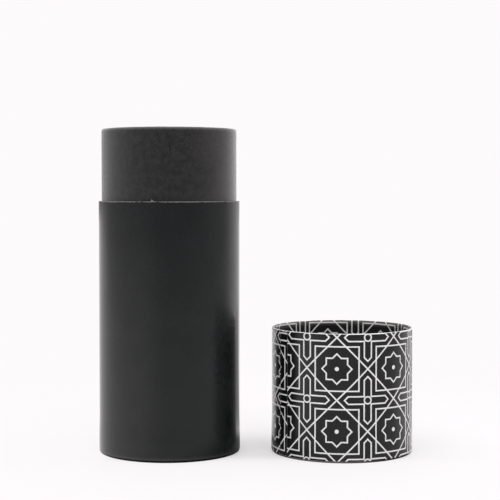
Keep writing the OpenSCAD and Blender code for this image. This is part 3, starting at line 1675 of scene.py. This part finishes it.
def stand_up(name: str, data: bpy.types.ID, place: Point, turn: object) -> Piece:
    """Stands a lamp or a camera in the scene.

    Args:
        name: Its name.
        data: The lamp or camera.
        place: Where it stands, in metres.
        turn: How it is turned.

    Returns:
        The object.
    """
    stand = bpy.data.objects.new(name, data)
    stand.location = place
    stand.rotation_euler = turn
    bpy.context.scene.collection.objects.link(stand)
    return stand


@dataclass(frozen=True)
class SoftLamp:
    """A large square lamp.

    Args:
        name: Its name.
        place: Where it stands, in metres.
        size: Its width and height, in metres.
        power: Its power in watts.
    """

    name: str
    place: Point
    size: Span
    power: float

    AIM = (0.03, 0.0, 0.08)

    def build(self) -> None:
        """Adds the lamp, facing the box."""
        lamp = bpy.data.lights.new(self.name, "AREA")
        lamp.shape = "RECTANGLE"
        lamp.size, lamp.size_y = self.size
        lamp.energy = self.power
        sight = Vector(self.AIM) - Vector(self.place)
        stand_up(self.name, lamp, self.place, sight.to_track_quat("-Z", "Y").to_euler())


@dataclass
class Studio:
    """The pale floor, the white surround, the soft lamps and the camera, in metres.

    A ramp is where a smooth step begins and ends, and often the levels there. The surround has three
    levels, in front, beside and behind, for its light and for what the box mirrors.
    """

    white: Colour = (0.985, 0.957, 0.972)
    floor_paint: Colour = (0.86, 0.845, 0.86)
    floor_size: float = 12.0
    floor_rough: float = 0.6
    floor_specular: float = 0.2
    floor_left: Ramp = (0.0, -0.8, 0.62, 1.0)
    floor_far: Ramp = (0.4, 2.0, 1.0, 0.72)
    floor_behind: Ramp = (0.0, 0.55)
    floor_sooner: Ramp = (0.4, 0.9, 0.45, 0.0)
    gap_middle: Point = (0.043, 0.0, 0.0)
    gap_shade: Ramp = (0.02, 0.065, 0.2, 1.0)
    streak_start: float = 0.058
    streak_slant: float = 0.55
    streak_level: float = 0.53
    streak_width: Ramp = (0.09, 0.045)
    streak_near: Ramp = (0.03, 0.1)
    streak_far: Ramp = (0.85, 0.55)
    glow_left: Ramp = (-0.036, -0.015, 0.88, 0.38)
    glow_right: Ramp = (0.112, 0.122, 0.38, 0.58)
    glow_front: Ramp = (-0.034, -0.014, 0.78, 0.38)
    glow_behind: Ramp = (0.005, 0.07, 0.38, 0.62)
    glow_far: Ramp = (0.12, 0.4)
    surround: Point = (0.30, 0.50, 0.80)
    mirrored: Point = (0.02, 0.38, 0.85)
    mirrored_left: float = 0.34
    mirrored_rise: float = 1.8
    front_turn: Ramp = (-0.95, 0.0)
    back_turn: Ramp = (0.25, 0.7)
    side_turn: Ramp = (-0.7, 0.7)
    horizon: Ramp = (0.0, 0.3)
    camera_place: Point = (0.02969, -0.6780, 0.12971)
    camera_pitch: float = 0.0433
    camera_yaw: float = 0.0156
    lens: float = 97.74
    sensor: float = 36.0
    clip: Span = (0.01, 50.0)
    lamps: tuple[SoftLamp, ...] = (
        SoftLamp("left_softbox", (-0.80, 0.0, 0.95), (0.7, 0.7), 2.5),
        SoftLamp("right_softbox", (0.85, 0.0, 0.95), (0.7, 0.7), 2.5),
        SoftLamp("front_softbox", (0.0, -0.70, 1.05), (1.2, 0.8), 8.0),
        SoftLamp("top_softbox", (0.0, 0.1, 1.2), (1.2, 1.0), 4.0),
    )

    def build_camera(self) -> None:
        """Adds the camera where the photograph was taken from."""
        camera = bpy.data.cameras.new("camera")
        camera.lens = self.lens
        camera.sensor_width = self.sensor
        camera.clip_start, camera.clip_end = self.clip
        turn = (math.pi / 2 - self.camera_pitch, 0.0, -self.camera_yaw)
        bpy.context.scene.camera = stand_up("camera", camera, self.camera_place, turn)

    def build_floor(self) -> None:
        """Adds the floor, which goes over into plain white away from the box."""
        clear_selection()
        bpy.ops.mesh.primitive_plane_add(size=self.floor_size, location=(0.0, 0.0, 0.0))
        floor = bpy.context.active_object
        floor.name = "floor"
        material, wiring = begin_material("floor")
        nodes = wiring.tree.nodes
        painted = wiring.plug(
            nodes["Principled BSDF"],
            Base_Color=self.floor_paint,
            Roughness=self.floor_rough,
            Specular_IOR_Level=self.floor_specular,
        )
        rays = wiring.outs(wiring.add("ShaderNodeLightPath"))
        at = wiring.outs(wiring.add("ShaderNodeTexCoord"))["Object"]
        reach = wiring.vector("LENGTH", at, out="Value")
        level = (self.floor_mirrored(wiring, at, reach) - 1.0) * rays["Is Glossy Ray"] + 1.0
        plain = wiring.add("ShaderNodeEmission", self.white, level)
        share = wiring.most(self.glow(wiring, at, reach) * rays["Is Camera Ray"], rays["Is Glossy Ray"])
        mixed = wiring.add("ShaderNodeMixShader", share, painted, plain)
        wiring.plug(nodes["Material Output"], Surface=mixed)
        paint(floor, material)

    def floor_mirrored(self, wiring: Wiring, at: Value, reach: Value) -> Value:
        """Gives the level at which the box mirrors the floor: darker in front and in the gap.

        Args:
            wiring: The floor's wiring.
            at: The place on the floor.
            reach: Its distance from the middle of the base.

        Returns:
            The level.
        """
        x, y, _ = wiring.parts(wiring.vector("NORMALIZE", at))
        left = wiring.step(x, *self.floor_left) * wiring.step(reach, *self.floor_far)
        behind = wiring.step(y + wiring.step(reach, *self.floor_sooner), *self.floor_behind)
        gap = wiring.vector("DISTANCE", at, self.gap_middle, out="Value")
        return wiring.most(left, behind) * wiring.step(gap, *self.gap_shade) * self.streak(wiring, at)

    def streak(self, wiring: Wiring, at: Value) -> Value:
        """Gives the level of the shaded streak of floor that runs back from the gap, behind the lid.

        Args:
            wiring: The floor's wiring.
            at: The place on the floor.

        Returns:
            The level, 1 outside the streak.
        """
        x, y, _ = wiring.parts(at)
        aside = abs(y * -self.streak_slant + (x - self.streak_start))
        held = wiring.step(y, *self.streak_near) * wiring.step(y, *self.streak_far)
        return wiring.step(aside, *self.streak_width) * held * (self.streak_level - 1.0) + 1.0

    def glow(self, wiring: Wiring, at: Value, reach: Value) -> Value:
        """Gives the share of plain white in the floor: least between the base and the lid.

        Args:
            wiring: The floor's wiring.
            at: The place on the floor.
            reach: Its distance from the middle of the base.

        Returns:
            The share.
        """
        x, y, _ = wiring.parts(at)
        across = (wiring.step(x, *ramp) for ramp in (self.glow_left, self.glow_right))
        back = (wiring.step(y, *ramp) for ramp in (self.glow_front, self.glow_behind))
        near = wiring.most(*across, *back)
        return wiring.step(reach, *self.glow_far) * (1.0 - near) + near

    def build_surround(self) -> None:
        """Sets the world: white where it is seen or mirrored, softer where it lights the box."""
        world = bpy.data.worlds.new("surround")
        world.use_nodes = True
        bpy.context.scene.world = world
        wiring = Wiring(world.node_tree)
        rays = wiring.outs(wiring.add("ShaderNodeLightPath"))
        x, y, z = wiring.parts(wiring.outs(wiring.add("ShaderNodeTexCoord"))["Generated"])
        lit, mirrored = (
            wiring.step(y, *self.front_turn, front, side) + wiring.step(y, *self.back_turn, 0.0, back - side)
            for front, side, back in (self.surround, self.mirrored)
        )
        low = wiring.step(z, *self.horizon, self.mirrored_left, 1.0)
        raised = mirrored * wiring.step(z, *self.horizon, 1.0, self.mirrored_rise)
        mirrored = wiring.math("MINIMUM", raised * wiring.step(x, *self.side_turn, low, 1.0), 1.0)
        level = rays["Is Glossy Ray"] * (mirrored - lit) + lit
        level = wiring.most(level, rays["Is Camera Ray"], rays["Is Transmission Ray"])
        wiring.plug(world.node_tree.nodes["Background"], Color=self.white, Strength=level)

    def build(self) -> None:
        """Builds the whole studio."""
        self.build_camera()
        self.build_floor()
        self.build_surround()
        for lamp in self.lamps:
            lamp.build()
        bpy.context.scene.view_settings.view_transform = "Standard"


def main() -> None:
    """Builds the studio and the box, piece by piece."""
    logging.basicConfig(level=logging.INFO, format="%(message)s")
    Studio().build()
    matt = MattBlackWrap().material()
    # The cap under each foot is painted near black with little specular: painted shade where the foot meets
    # the floor
    cap = MattBlackWrap(
        name="foot_cap",
        dark=(0.0010, 0.0010, 0.0012),
        light=(0.0018, 0.0018, 0.0020),
        specular=0.05,
        foot_highlight_share=0.0,
    ).material()
    charcoal = CharcoalPaper().material()
    print_wrap = LinePrintWrap().material()
    lining = Finish().material()
    base_board = GreyBoard().material()
    lid_board = GreyBoard(name="grey_board_lid", axis=LID).material()
    BaseShell().build(matt, base_board, cap)
    Neck().build(charcoal, lining, base_board)
    LidShell().build(print_wrap, cap, lining, lid_board)


if __name__ == "__main__":
    main()
